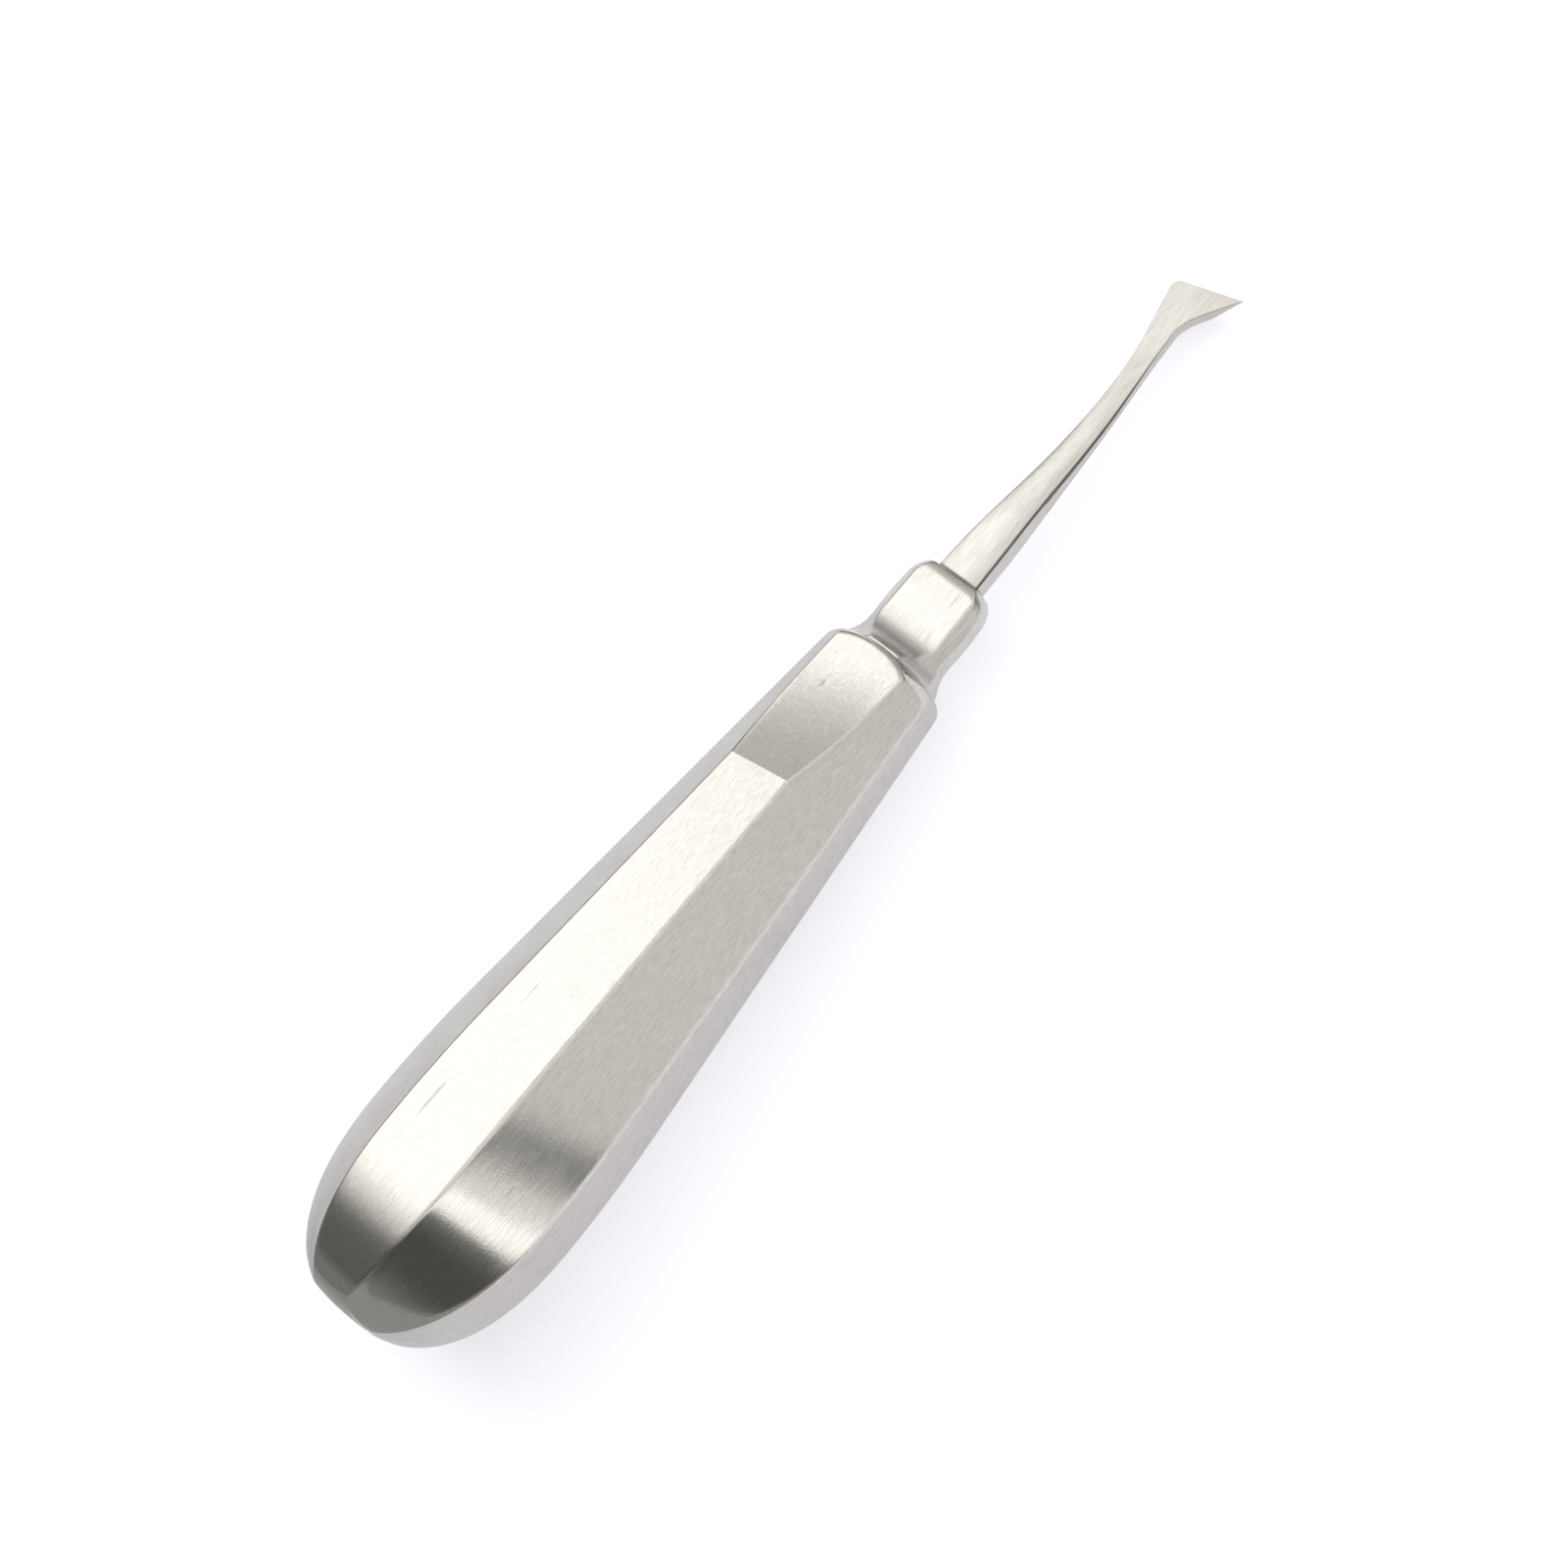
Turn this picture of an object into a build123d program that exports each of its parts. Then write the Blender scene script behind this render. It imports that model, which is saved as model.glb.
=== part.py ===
"""Dental elevator: a hollow pear-shaped eight-sided handle with a ferrule, and a forged shank
that ends in a small triangular flag blade.

Sizes are in millimetres. Stations are distances along the handle's own axis, counted from the
butt. The elevator lies as it comes to rest, on the flat stretch of the handle's lower facet, so
the handle's axis dips towards the blade. +X runs from the butt to the blade, +Y is the left side
seen from the butt, +Z is up, and the origin is on the table under the middle of the length.
"""
from build123d import *
from dataclasses import dataclass
from math import atan, atan2, cos, degrees, radians, sin, tan
import os

os.makedirs("parts", exist_ok=True)

# Handle: each pair of facets stands at its own share of one reference half-size.
handle_length = 95.6
crest_station = 21.0
crest_half_size = 13.98
straight_start = 36.5
taper = 0.0942
corner_turn = 37.3
wall = 1.2

# Turned envelope that blends the facets into the butt and into the shoulder.
butt_cap_length = 12.6
butt_cap_radius = 15.7
butt_cap_power = 2.4
shoulder_length = 10.6
shoulder_fullness = 1.148
shoulder_rise_power = 4.0
shoulder_round_power = 2.6

# Thumb rest ground into the upper facet: a crisp crease, a shallow hollow and a run-out.
thumb_run = 17.4
thumb_margin = 2.6
thumb_drop = 3.85
thumb_hollow = 0.35
thumb_turn = 6.0
thumb_lead_in = 4.0
thumb_run_out = 8.0

# Ferrule, and the neck that flares into the shoulder.
ferrule_length = 11.3
ferrule_half_height = 2.46
ferrule_half_width = 5.59
ferrule_corner_reach = 4.6
ferrule_corner_turn = 48.1
neck_lead = 2.2

# Tang brazed into the ferrule's socket.
tang_half_width = 2.2
tang_half_height = 1.25
tang_length = 11.5
braze_gap = 0.04
socket_overrun = 2.5

# Shank, from the ferrule's front to the blade's point, and its half-thicknesses.
shank_length = 44.8
shank_half_thickness = 1.75
shank_full_run = 9.1
shank_thinned_half = 1.2
shank_thinned_run = 17.6
waist_half_thickness = 0.75
waist_setback = 9.7

# Blade, seen from above, and the bevel ground under its working edge.
blade_length = 5.2
blade_half_thickness = 0.85
blade_reach = 5.36
edge_corner_left = 1.73
edge_setback = 1.8
edge_bulge = 0.08
corner_bulge = 0.45
heel_setback = 4.3
heel_right = 2.39
heel_turn = (-0.82, 0.57)
edge_thickness = 0.3
bevel_run = 2.6

# Spans of the cutting shapes that only have to reach past the metal.
facet_reach = 30.0
nose_overrun = 0.5
shoulder_overrun = 2.0
blank_overrun = 2.0


@dataclass(frozen=True)
class Facets:
    """One opposite pair of handle facets.

    turn is the angle of the pair's normal from the handle's left side, share its distance from
    the axis per half-size, and the powers say how bluntly the pair runs into the butt.
    """

    turn: float
    share: float
    rise_power: float
    round_power: float

    def crest(self):
        """Largest distance of the pair from the axis."""
        return self.share * crest_half_size

    def slope(self):
        """Fall of the straight stretch per millimetre of station."""
        return self.share * taper

    def straight(self):
        """Distance from the axis where the straight stretch starts."""
        return self.crest() - (straight_start - crest_station) * tan(atan(self.slope()) / 2)

    def at(self, station):
        """Distance from the axis at a station of the straight stretch."""
        return self.straight() - self.slope() * (station - straight_start)


upper_and_lower = Facets(turn=90, share=1.025, rise_power=3.0, round_power=3.3)
left_and_right = Facets(turn=0, share=0.974, rise_power=2.1, round_power=2.2)
corners = [
    Facets(turn=turn, share=0.953, rise_power=2.5, round_power=2.7)
    for turn in (corner_turn, -corner_turn)
]

# Stations that follow from the lengths.
crease_station = handle_length - thumb_margin - thumb_run
shoulder_start = handle_length - shoulder_length
ferrule_end = handle_length + ferrule_length
blade_tip = ferrule_end + shank_length

# The handle's axis in the resting elevator: the lower facet's straight stretch is level.
rest_tilt = atan(upper_and_lower.slope())
along = Vector(cos(rest_tilt), 0, -sin(rest_tilt))
upward = Vector(sin(rest_tilt), 0, cos(rest_tilt))
left = Vector(0, 1, 0)
butt_point = Vector(-blade_tip * cos(rest_tilt) / 2, 0, upper_and_lower.at(0) * cos(rest_tilt))


def handle_plane(turn, station=0, yaw=0):
    """Plane that holds the axis: local x along it, local y turned by turn from left to up.

    yaw swings the plane about the upward direction, towards the left.
    """
    swing = radians(yaw)
    forward = along * cos(swing) + left * sin(swing)
    beside = left * cos(swing) - along * sin(swing)
    normal = upward * cos(radians(turn)) - beside * sin(radians(turn))
    return Plane(origin=butt_point + along * station, x_dir=forward, z_dir=normal)


plan = handle_plane(0)
side = handle_plane(90)

@dataclass(frozen=True)
class Skin:
    """One side of the handle's wall: the smooth outside, or the inside in plain chords.

    shares are the places along a nose's run where its curve is worked out.
    """

    inset: float
    shares: tuple
    smooth: bool

    def nose(self, run, height, rise_power, round_power):
        """Points of a rounded nose that rises from the axis to its height over its run."""
        return [
            (run * share, height * (1 - (1 - share) ** rise_power) ** (1 / round_power))
            for share in self.shares
        ]

    def draw(self, points, end_direction):
        """Adds a nose to the line being built, as one curve or as chords inside it."""
        if self.smooth:
            Spline(points, tangents=[(0, 1), end_direction])
        else:
            Polyline(*points)


outside = Skin(inset=0, shares=(0, 0.01, 0.04, 0.1, 0.2, 0.35, 0.55, 0.8, 1), smooth=True)
inside = Skin(inset=wall, shares=(0, 0.04, 0.2, 0.55, 1), smooth=False)


def facet_outline(facets, skin):
    """Closed outline of one facet pair, from just before the butt to just past the shoulder."""
    crest = facets.crest() - skin.inset
    straight = facets.straight() - skin.inset
    start = skin.inset - nose_overrun
    end_station = handle_length + shoulder_overrun
    end = facets.at(end_station) - skin.inset
    nose = skin.nose(crest_station - start, crest, facets.rise_power, facets.round_power)
    with BuildSketch(handle_plane(facets.turn)) as outline:
        with BuildLine():
            skin.draw([(start + x, y) for x, y in nose], end_direction=(1, 0))
            TangentArc((crest_station, crest), (straight_start, straight), tangent=(1, 0))
            Polyline((straight_start, straight), (end_station, end), (end_station, 0))
            mirror(about=Plane.XZ)
        make_face()
    return outline.sketch


def envelope_outline(skin):
    """Half outline of the turned envelope: rounded butt, straight run and domed shoulder.

    The dome's radius at its root is a little over the corner facets' distance from the axis.
    """
    cap_radius = butt_cap_radius - skin.inset
    cap = skin.nose(butt_cap_length - skin.inset, cap_radius, butt_cap_power, butt_cap_power)
    cap = [(skin.inset + x, y) for x, y in cap]
    dome_radius = shoulder_fullness * corners[0].at(shoulder_start) - skin.inset
    dome_run = shoulder_length - skin.inset
    dome = skin.nose(dome_run, dome_radius, shoulder_rise_power, shoulder_round_power)
    dome = [(handle_length - skin.inset - x, y) for x, y in dome]
    with BuildSketch(side) as outline:
        with BuildLine():
            skin.draw(cap, end_direction=(1, 0))
            Polyline(cap[-1], (straight_start, cap_radius), dome[-1])
            skin.draw(dome, end_direction=(-1, 0))
            Line(dome[0], cap[0])
        make_face()
    return outline.sketch


def thumb_cut_outline(skin):
    """Path of the grinding wheel: it enters the upper facet at the crease, dips and runs out."""
    entry = upper_and_lower.at(crease_station) - skin.inset
    middle = entry - thumb_drop / 2 - thumb_hollow
    leave = entry - thumb_drop
    entry_slope = (thumb_drop + 4 * thumb_hollow) / thumb_run
    leave_slope = (thumb_drop - 4 * thumb_hollow) / thumb_run
    run_out_end = thumb_run + thumb_run_out
    with BuildSketch(handle_plane(90, crease_station, thumb_turn)) as outline:
        with BuildLine():
            ThreePointArc((0, entry), (thumb_run / 2, middle), (thumb_run, leave))
            Polyline(
                (thumb_run, leave),
                (run_out_end, leave - thumb_run_out * leave_slope),
                (run_out_end, facet_reach),
                (-thumb_lead_in, facet_reach),
                (-thumb_lead_in, entry + thumb_lead_in * entry_slope),
                (0, entry),
            )
        make_face()
    return outline.sketch


def faceted_body(skin):
    """Turned envelope cut by four facet pairs and the thumb rest, all set in by one inset."""
    with BuildPart() as body:
        revolve(envelope_outline(skin), axis=Axis(butt_point, along))
        for facets in [upper_and_lower, left_and_right, *corners]:
            outline = facet_outline(facets, skin)
            extrude(outline, amount=facet_reach, both=True, mode=Mode.INTERSECT)
        extrude(thumb_cut_outline(skin), amount=facet_reach, both=True, mode=Mode.SUBTRACT)
    return body.part


shell = faceted_body(outside)
hollow = faceted_body(inside)


@dataclass(frozen=True)
class FerruleFaces:
    """One opposite pair of ferrule faces, as distances from the axis.

    turn is the angle of the pair's normal from the left side. The pair flares at the shoulder,
    is waisted at the neck, swells slightly at its middle and is rounded off at its front.
    flare_lead and waist_run are counted from the shoulder's end, front_run from the front.
    """

    turn: float
    reach: float
    swell: float
    flare: float
    flare_lead: float
    waist_run: float
    front_run: float
    rounding: float


ferrule_flats = FerruleFaces(
    turn=90,
    reach=ferrule_half_height,
    swell=0.09,
    flare=4.9,
    flare_lead=0.3,
    waist_run=3.3,
    front_run=1.7,
    rounding=0.42,
)
ferrule_sides = FerruleFaces(
    turn=0,
    reach=ferrule_half_width,
    swell=0.14,
    flare=6.3,
    flare_lead=0.6,
    waist_run=2.8,
    front_run=3.3,
    rounding=1.5,
)
ferrule_corners = [
    FerruleFaces(
        turn=turn,
        reach=ferrule_corner_reach,
        swell=0.05,
        flare=5.6,
        flare_lead=1.0,
        waist_run=1.6,
        front_run=2.6,
        rounding=1.0,
    )
    for turn in (ferrule_corner_turn, -ferrule_corner_turn)
]


def ferrule_outline(faces):
    """Closed outline of one pair of ferrule faces, from inside the shoulder to the front."""
    neck_start = handle_length - neck_lead
    flare = (handle_length - faces.flare_lead, faces.flare)
    waist = (handle_length + faces.waist_run, faces.reach - faces.swell)
    front = (ferrule_end - faces.front_run, faces.reach - faces.swell)
    middle = ((waist[0] + front[0]) / 2, faces.reach)
    end = (ferrule_end, faces.reach - faces.swell - faces.rounding)
    with BuildSketch(handle_plane(faces.turn)) as outline:
        with BuildLine():
            Polyline((neck_start, 0), (neck_start, faces.flare), flare)
            TangentArc(waist, flare, tangent=(-1, 0))
            ThreePointArc(waist, middle, front)
            TangentArc(front, end, tangent=(1, 0))
            Line(end, (ferrule_end, 0))
            mirror(about=Plane.XZ)
        make_face()
    return outline.sketch


with BuildPart() as ferrule:
    extrude(ferrule_outline(ferrule_flats), amount=facet_reach, both=True)
    for faces in [ferrule_sides, *ferrule_corners]:
        extrude(ferrule_outline(faces), amount=facet_reach, both=True, mode=Mode.INTERSECT)

# Front face of the ferrule: local x to the left, local y up, local z towards the blade.
ferrule_front = Plane(origin=butt_point + along * ferrule_end, x_dir=(0, 1, 0), z_dir=along)
socket_depth = ferrule_length + wall + socket_overrun

with BuildPart() as handle:
    add(shell)
    add(ferrule.part)
    add(hollow, mode=Mode.SUBTRACT)
    with BuildSketch(ferrule_front):
        Rectangle(2 * (tang_half_width + braze_gap), 2 * (tang_half_height + braze_gap))
    extrude(amount=-socket_depth, mode=Mode.SUBTRACT)

handle.part.label = "handle"
export_step(handle.part, "parts/handle.step")

# Plan of the shank, as runs and distances to the left: near the ferrule the runs count from its
# front, and near the blade they count back from the blade's point.
left_from_ferrule = ((0, 2.80), (5.6, 2.38), (11.2, 1.76))
left_from_point = ((17.1, 0.80), (11.6, 1.15), (6.6, 2.10), (3.3, 2.75))
right_from_ferrule = ((0, -2.90), (5.6, -2.82), (11.2, -2.62))
right_from_point = ((17.1, -1.93), (11.6, -1.45), (7.1, -1.22))


def shank_side(from_ferrule, from_point):
    """Points of one side of the shank's plan, as stations and distances to the left."""
    near_ferrule = [(ferrule_end + run, y) for run, y in from_ferrule]
    near_point = [(blade_tip - run, y) for run, y in from_point]
    return near_ferrule + near_point


shank_left = shank_side(left_from_ferrule, left_from_point)
shank_right = shank_side(right_from_ferrule, right_from_point)
blade_heel = (blade_tip - heel_setback, -heel_right)
blade_point = (blade_tip, -blade_reach)
edge_corner = (blade_tip - edge_setback, edge_corner_left)

# The bevel's plane stands square to the working edge and crosses the axis where the edge does.
edge_yaw = degrees(atan2(edge_setback, blade_reach + edge_corner_left))
edge_station = edge_corner[0] + edge_corner_left * tan(radians(edge_yaw)) + edge_bulge

# Side outline of the shank and blade, as stations and half-thicknesses.
blank_end = blade_tip + blank_overrun
thickness_run = (
    (ferrule_end, shank_half_thickness),
    (ferrule_end + shank_full_run, shank_half_thickness),
    (ferrule_end + shank_thinned_run, shank_thinned_half),
    (blade_tip - waist_setback, waist_half_thickness),
    (blade_tip - blade_length, blade_half_thickness),
    (blank_end, blade_half_thickness),
)

with BuildPart() as working_end:
    with BuildSketch(plan):
        with BuildLine():
            Spline(shank_left)
            SagittaArc(shank_left[-1], edge_corner, corner_bulge)
            SagittaArc(edge_corner, blade_point, edge_bulge)
            Line(blade_point, blade_heel)
            heel = TangentArc(blade_heel, shank_right[-1], tangent=heel_turn)
            Spline([*reversed(shank_right)], tangents=[heel % 1, (-1, 0.05)])
            Line(shank_right[0], shank_left[0])
        make_face()
    extrude(amount=facet_reach, both=True)
    with BuildSketch(side):
        with BuildLine():
            Spline(thickness_run)
            Line((blank_end, blade_half_thickness), (blank_end, 0))
            Line((ferrule_end, shank_half_thickness), (ferrule_end, 0))
            mirror(about=Plane.XZ)
        make_face()
    extrude(amount=facet_reach, both=True, mode=Mode.INTERSECT)
    with BuildSketch(handle_plane(90, edge_station, edge_yaw)):
        with BuildLine():
            Polyline(
                (-bevel_run, -blade_half_thickness),
                (0, blade_half_thickness - edge_thickness),
                (blank_overrun, blade_half_thickness),
                (blank_overrun, -facet_reach),
                (-bevel_run, -facet_reach),
                close=True,
            )
        make_face()
    extrude(amount=facet_reach, both=True, mode=Mode.SUBTRACT)
    with BuildSketch(ferrule_front):
        Rectangle(2 * tang_half_width, 2 * tang_half_height)
    extrude(amount=-tang_length)

working_end.part.label = "working_end"
export_step(working_end.part, "parts/working_end.step")
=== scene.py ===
"""Dental elevator in satin stainless steel, dressed for a product photograph.

The handle, the ferrule and the forged working end are surfaces worked out with numpy in the
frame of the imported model. Sizes are in millimetres and turned to metres when a mesh is made.
Stations are distances along the handle's axis from its butt, and angles around the axis run
from the left side, 0, over the top, 90 degrees.
"""
import logging
from dataclasses import dataclass
from functools import partial

import bpy
import numpy as np
from mathutils import Matrix, Vector


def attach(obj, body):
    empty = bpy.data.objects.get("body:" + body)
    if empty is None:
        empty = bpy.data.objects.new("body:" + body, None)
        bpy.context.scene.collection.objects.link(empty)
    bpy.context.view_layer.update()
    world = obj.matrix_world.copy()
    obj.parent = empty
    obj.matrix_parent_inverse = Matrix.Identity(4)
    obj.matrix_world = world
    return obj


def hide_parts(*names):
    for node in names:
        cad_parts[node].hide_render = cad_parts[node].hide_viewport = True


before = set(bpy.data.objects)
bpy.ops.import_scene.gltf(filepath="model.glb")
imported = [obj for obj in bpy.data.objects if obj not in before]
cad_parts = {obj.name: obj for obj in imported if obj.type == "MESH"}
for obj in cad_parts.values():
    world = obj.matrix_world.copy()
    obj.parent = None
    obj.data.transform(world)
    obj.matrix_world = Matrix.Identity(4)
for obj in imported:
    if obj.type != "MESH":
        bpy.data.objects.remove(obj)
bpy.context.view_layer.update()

logging.basicConfig(level=logging.INFO, format="%(name)s: %(message)s")
log = logging.getLogger("dental_elevator")

MM = 0.001

# Radiance of the studio at places along X, where -1 is past the butt and 1 past the blade.
# The screen hangs overhead, the room surrounds it, and the front is what the front facet mirrors.
FULL_LEVEL = 2.0
SCREEN_ALONG_X = (
    (-1.0, 0.15),
    (-0.60, 0.17),
    (-0.44, 0.18),
    (-0.34, 0.24),
    (-0.28, 0.42),
    (-0.21, 0.85),
    (-0.14, 1.30),
    (-0.06, 1.95),
    (0.26, 1.95),
    (0.32, 1.66),
    (0.45, 1.90),
    (0.51, 1.10),
    (0.56, 0.82),
    (0.65, 0.75),
    (1.0, 0.70),
)
ROOM_ALONG_X = ((-1.0, 0.13), (-0.40, 0.15), (-0.15, 0.85), (0.0, 1.15), (1.0, 1.10))
FRONT_ALONG_X = (
    (-1.0, 0.11),
    (-0.30, 0.11),
    (-0.22, 0.18),
    (-0.175, 0.30),
    (-0.150, 1.50),
    (-0.060, 2.00),
    (-0.046, 0.30),
    (-0.032, 1.60),
    (-0.008, 0.70),
    (0.036, 0.26),
    (0.060, 0.45),
    (0.085, 0.92),
    (0.20, 0.95),
    (0.60, 0.80),
    (1.0, 0.60),
)
SECTORS = 8
WHITE = "#FFFFFF"
Array = np.ndarray


def soft_lowest(values: list[Array], rounding: Array | float) -> Array:
    """Lowest of several arrays, with the meeting edges rounded.

    The formula is minus the rounding times the logarithm of the sum of exponentials of each
    value over minus the rounding, which is the plain minimum where the values lie far apart.

    Args:
        values: Arrays of one shape, in millimetres.
        rounding: Depth scale of the rounding, in millimetres, one value or one for each point.

    Returns:
        The rounded minimum.
    """
    stack = np.stack(values)
    lowest = stack.min(axis=0)
    return lowest - rounding * np.log(np.exp((lowest - stack) / rounding).sum(axis=0))


def smooth_step(value: Array, start: float, end: float) -> Array:
    """Rise from 0 at start to 1 at end, level at both ends: three s squared less two s cubed."""
    share = np.clip((value - start) / (end - start), 0.0, 1.0)
    return share * share * (3.0 - 2.0 * share)


def blunt_nose(share: Array, rise_power: float, round_power: float) -> Array:
    """Height share of a rounded nose: 1 less (1 - share) to one power, to 1 over the other."""
    left_over = np.clip(1.0 - share, 0.0, 1.0)
    return np.clip(1.0 - left_over**rise_power, 0.0, 1.0) ** (1.0 / round_power)


def smooth_curve(knots: Array, heights: Array, at: Array) -> Array:
    """Natural cubic spline through points: its bend changes evenly and is nothing at the ends.

    Args:
        knots: Rising places of the points.
        heights: Heights at those places.
        at: Places where the curve is wanted.

    Returns:
        Heights of the curve.
    """
    gaps = np.diff(knots)
    slopes = np.diff(heights) / gaps
    inner = np.arange(1, knots.size - 1)
    system = np.eye(knots.size)
    system[inner, inner - 1] = gaps[:-1]
    system[inner, inner] = 2.0 * (gaps[:-1] + gaps[1:])
    system[inner, inner + 1] = gaps[1:]
    pull = np.zeros(knots.size)
    pull[inner] = 6.0 * np.diff(slopes)
    bends = np.linalg.solve(system, pull)
    span = np.clip(np.searchsorted(knots, at) - 1, 0, knots.size - 2)
    gap = gaps[span]
    ahead = (at - knots[span]) / gap
    behind = 1.0 - ahead
    bow = (behind**3 - behind) * bends[span] + (ahead**3 - ahead) * bends[span + 1]
    return behind * heights[span] + ahead * heights[span + 1] + bow * gap * gap / 6.0


@dataclass(frozen=True)
class AxisLie:
    """Where the handle's axis lies in the frame: level in Y, dipping towards the blade."""

    butt_height: float
    half_reach: float
    dip: float

    @property
    def along(self) -> Array:
        """Unit vector from the butt to the blade."""
        return np.array([np.cos(self.dip), 0.0, -np.sin(self.dip)])

    @property
    def upward(self) -> Array:
        """Unit vector square to the axis, upwards."""
        return np.array([np.sin(self.dip), 0.0, np.cos(self.dip)])

    @property
    def butt(self) -> Array:
        """The axis at station 0, in millimetres."""
        return np.array([-self.half_reach, 0.0, self.butt_height])

    def place(self, station: Array, leftward: Array, rise: Array) -> Array:
        """Points of the frame from distances along, to the left of and above the axis.

        Args:
            station: Distances along the axis, in millimetres.
            leftward: Distances to the left.
            rise: Distances upwards, square to the axis.

        Returns:
            Points in metres, with the coordinates in the last dimension.
        """
        left = np.array([0.0, 1.0, 0.0])
        station, leftward, rise = np.broadcast_arrays(station, leftward, rise)
        parts = (
            self.butt
            + station[..., None] * self.along
            + leftward[..., None] * left
            + rise[..., None] * self.upward
        )
        return parts * MM


def closed_mesh(name: str, points: Array, marks: dict[str, Array]) -> bpy.types.Object:
    """Object from a grid of points that closes around its columns and at both end rows.

    Each end row is joined to its own middle by a fan of triangles. Faces point outwards when
    the columns turn from the left over the top and the rows run towards the blade.

    Args:
        name: Name of the object and its mesh.
        points: Rows by columns by three coordinates, in metres.
        marks: Values for the finish, each rows by columns, kept as point attributes.

    Returns:
        The new object, at the origin.
    """
    rows, columns = points.shape[:2]
    index = np.arange(rows * columns).reshape(rows, columns)
    turned = np.roll(index, -1, axis=1)
    quads = np.stack([index[:-1], turned[:-1], turned[1:], index[1:]], axis=-1).reshape(-1, 4)
    first_pole = rows * columns
    start_fan = np.stack([np.full(columns, first_pole), turned[0], index[0]], axis=-1)
    end_fan = np.stack([index[-1], turned[-1], np.full(columns, first_pole + 1)], axis=-1)
    ends = np.stack([points[0].mean(axis=0), points[-1].mean(axis=0)])
    corners = np.concatenate([points.reshape(-1, 3), ends])
    faces = quads.tolist() + start_fan.tolist() + end_fan.tolist()
    mesh = bpy.data.meshes.new(name)
    mesh.from_pydata(corners.tolist(), [], faces)
    for mark, values in marks.items():
        full = np.broadcast_to(values, (rows, columns))
        spread = np.concatenate([full.ravel(), [full[0].mean(), full[-1].mean()]])
        layer = mesh.attributes.new(mark, "FLOAT", "POINT")
        layer.data.foreach_set("value", spread.astype(np.float32))
    mesh.polygons.foreach_set("use_smooth", np.ones(len(mesh.polygons), dtype=bool))
    mesh.update()
    piece = bpy.data.objects.new(name, mesh)
    bpy.context.scene.collection.objects.link(piece)
    return piece


def eased_rows(
    knots: list[Array], counts: tuple[int, ...], powers: tuple[tuple[float, float], ...]
) -> Array:
    """Stations of all rows, given the stations of the lines that the rows have to follow.

    Between two lines the share of the way is s to one power over itself plus (1 - s) to the
    other, so that the rows crowd at a line whose power is high.

    Args:
        knots: Station of each line, one value for each column.
        counts: Number of rows between neighbouring lines.
        powers: Crowding at the start and at the end of each stretch.

    Returns:
        Rows by columns of stations.
    """
    rows = [knots[0][None, :]]
    for start, end, count, (first, last) in zip(knots, knots[1:], counts, powers):
        step = np.linspace(0.0, 1.0, count + 1)[1:, None]
        share = step**first / (step**first + (1.0 - step) ** last)
        rows.append(start + (end - start) * share)
    return np.concatenate(rows)


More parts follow.
